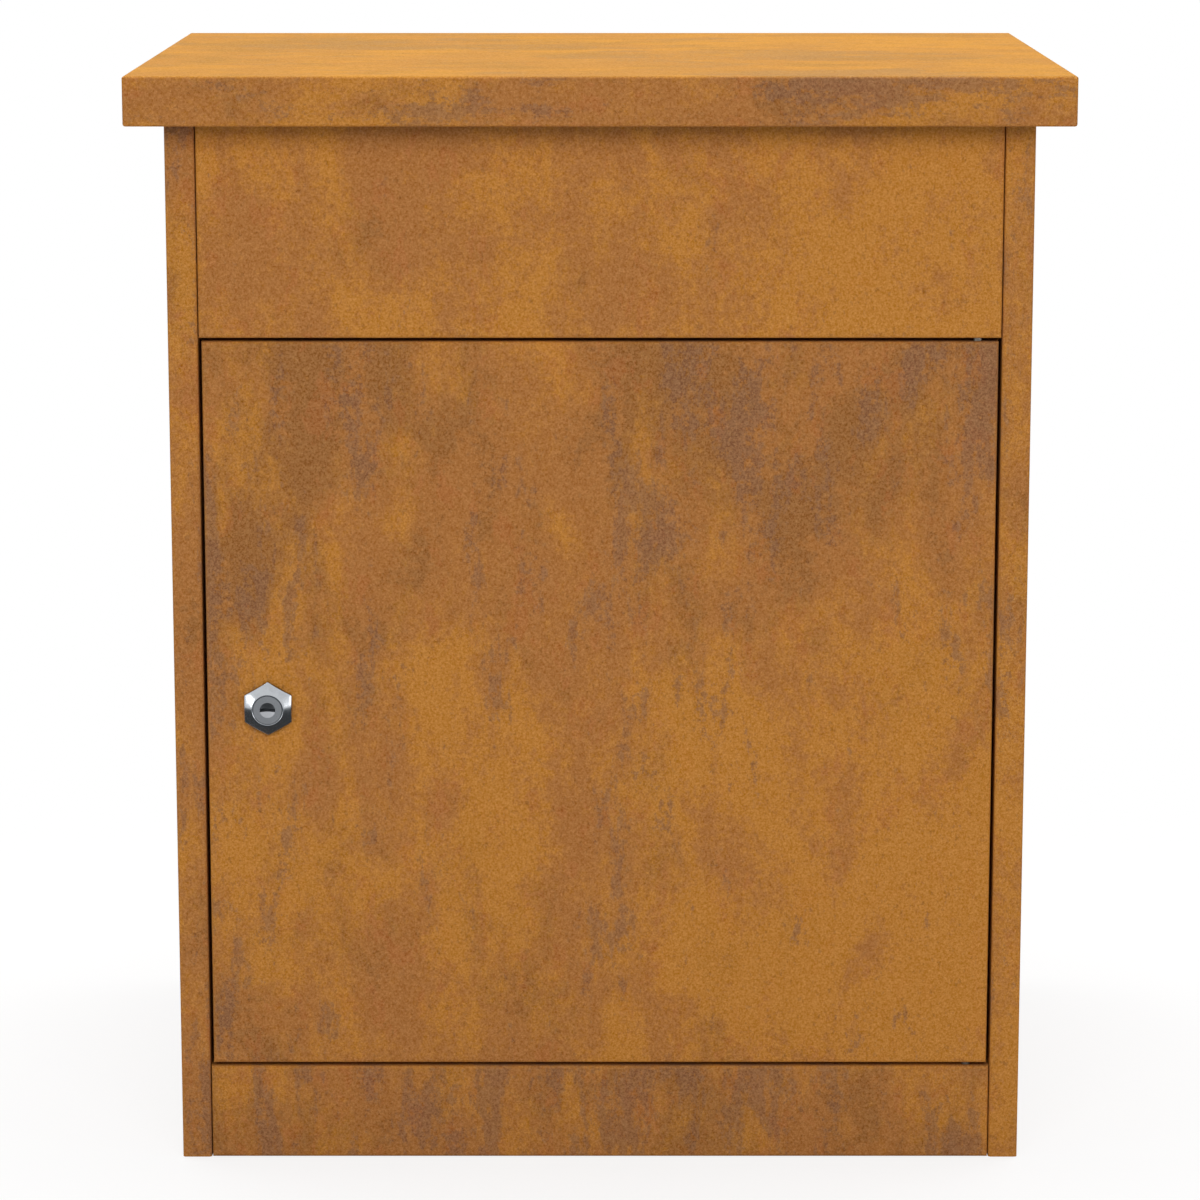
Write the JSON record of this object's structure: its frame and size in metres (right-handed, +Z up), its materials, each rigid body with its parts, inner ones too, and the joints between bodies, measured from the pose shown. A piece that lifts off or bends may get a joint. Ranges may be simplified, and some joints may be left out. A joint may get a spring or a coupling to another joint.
{
  "type": "rusty mailbox",
  "caption": "Upright weathering-steel parcel mailbox: folded cabinet, rear-hinged overhanging lid with a retrieval guard, and an inset front door with a cam lock.",
  "frame": {"origin": "centre of the footprint's bounding box, on the ground", "axes": "+Z up, the door and the lid's front edge face -Y, +X to the right seen from the front"},
  "size_m": [0.445, 0.34, 0.53],
  "materials": {
    "rust_sheet": "matte",
    "zinc_plate": "satin",
    "pin_steel": "satin",
    "chrome_plate": "polished",
    "black_rubber": "matte"
  },
  "bodies": {
    "cabinet": {"left_side_panel": "rust_sheet", "right_side_panel": "rust_sheet", "back_panel": "rust_sheet", "floor_panel": "rust_sheet", "upper_front_panel": "rust_sheet", "lower_front_panel": "rust_sheet", "back_rivets": "zinc_plate", "front_rivets": "zinc_plate", "left_lid_bumper": "black_rubber", "right_lid_bumper": "black_rubber", "upper_door_bumper": "black_rubber", "lower_door_bumper": "black_rubber", "left_hinge_fixed_leaf": "zinc_plate", "right_hinge_fixed_leaf": "zinc_plate", "left_hinge_pin": "pin_steel", "right_hinge_pin": "pin_steel", "hinge_rivets": "zinc_plate"},
    "lid_assembly": {"lid": "rust_sheet", "left_hinge_lid_leaf": "zinc_plate", "right_hinge_lid_leaf": "zinc_plate", "retrieval_guard": "rust_sheet", "guard_studs": "zinc_plate", "guard_nuts": "zinc_plate"},
    "door_assembly": {"door": "rust_sheet", "upper_door_pin": "pin_steel", "lower_door_pin": "pin_steel", "lock_housing": "chrome_plate", "lock_washer": "zinc_plate", "lock_nut": "zinc_plate"},
    "lock_barrel": {"lock_plug": "chrome_plate", "cam": "zinc_plate", "cam_washer": "zinc_plate", "cam_screw": "zinc_plate"}
  },
  "joints": [
    {"name": "lid_hinge", "type": "hinge", "parent": "cabinet", "child": "lid_assembly", "pos_m": [0, 0.16445, 0.52565], "axis": [-1, 0, 0], "range_deg": [0, 70]},
    {"name": "door_hinge", "type": "hinge", "parent": "cabinet", "child": "door_assembly", "pos_m": [0.1795, -0.148, 0.22575], "axis": [0, 0, 1], "range_deg": [0, 120]},
    {"name": "lock_turn", "type": "hinge", "parent": "door_assembly", "child": "lock_barrel", "pos_m": [-0.1599, -0.153, 0.22575], "axis": [0, 1, 0], "range_deg": [0, 90]}
  ]
}
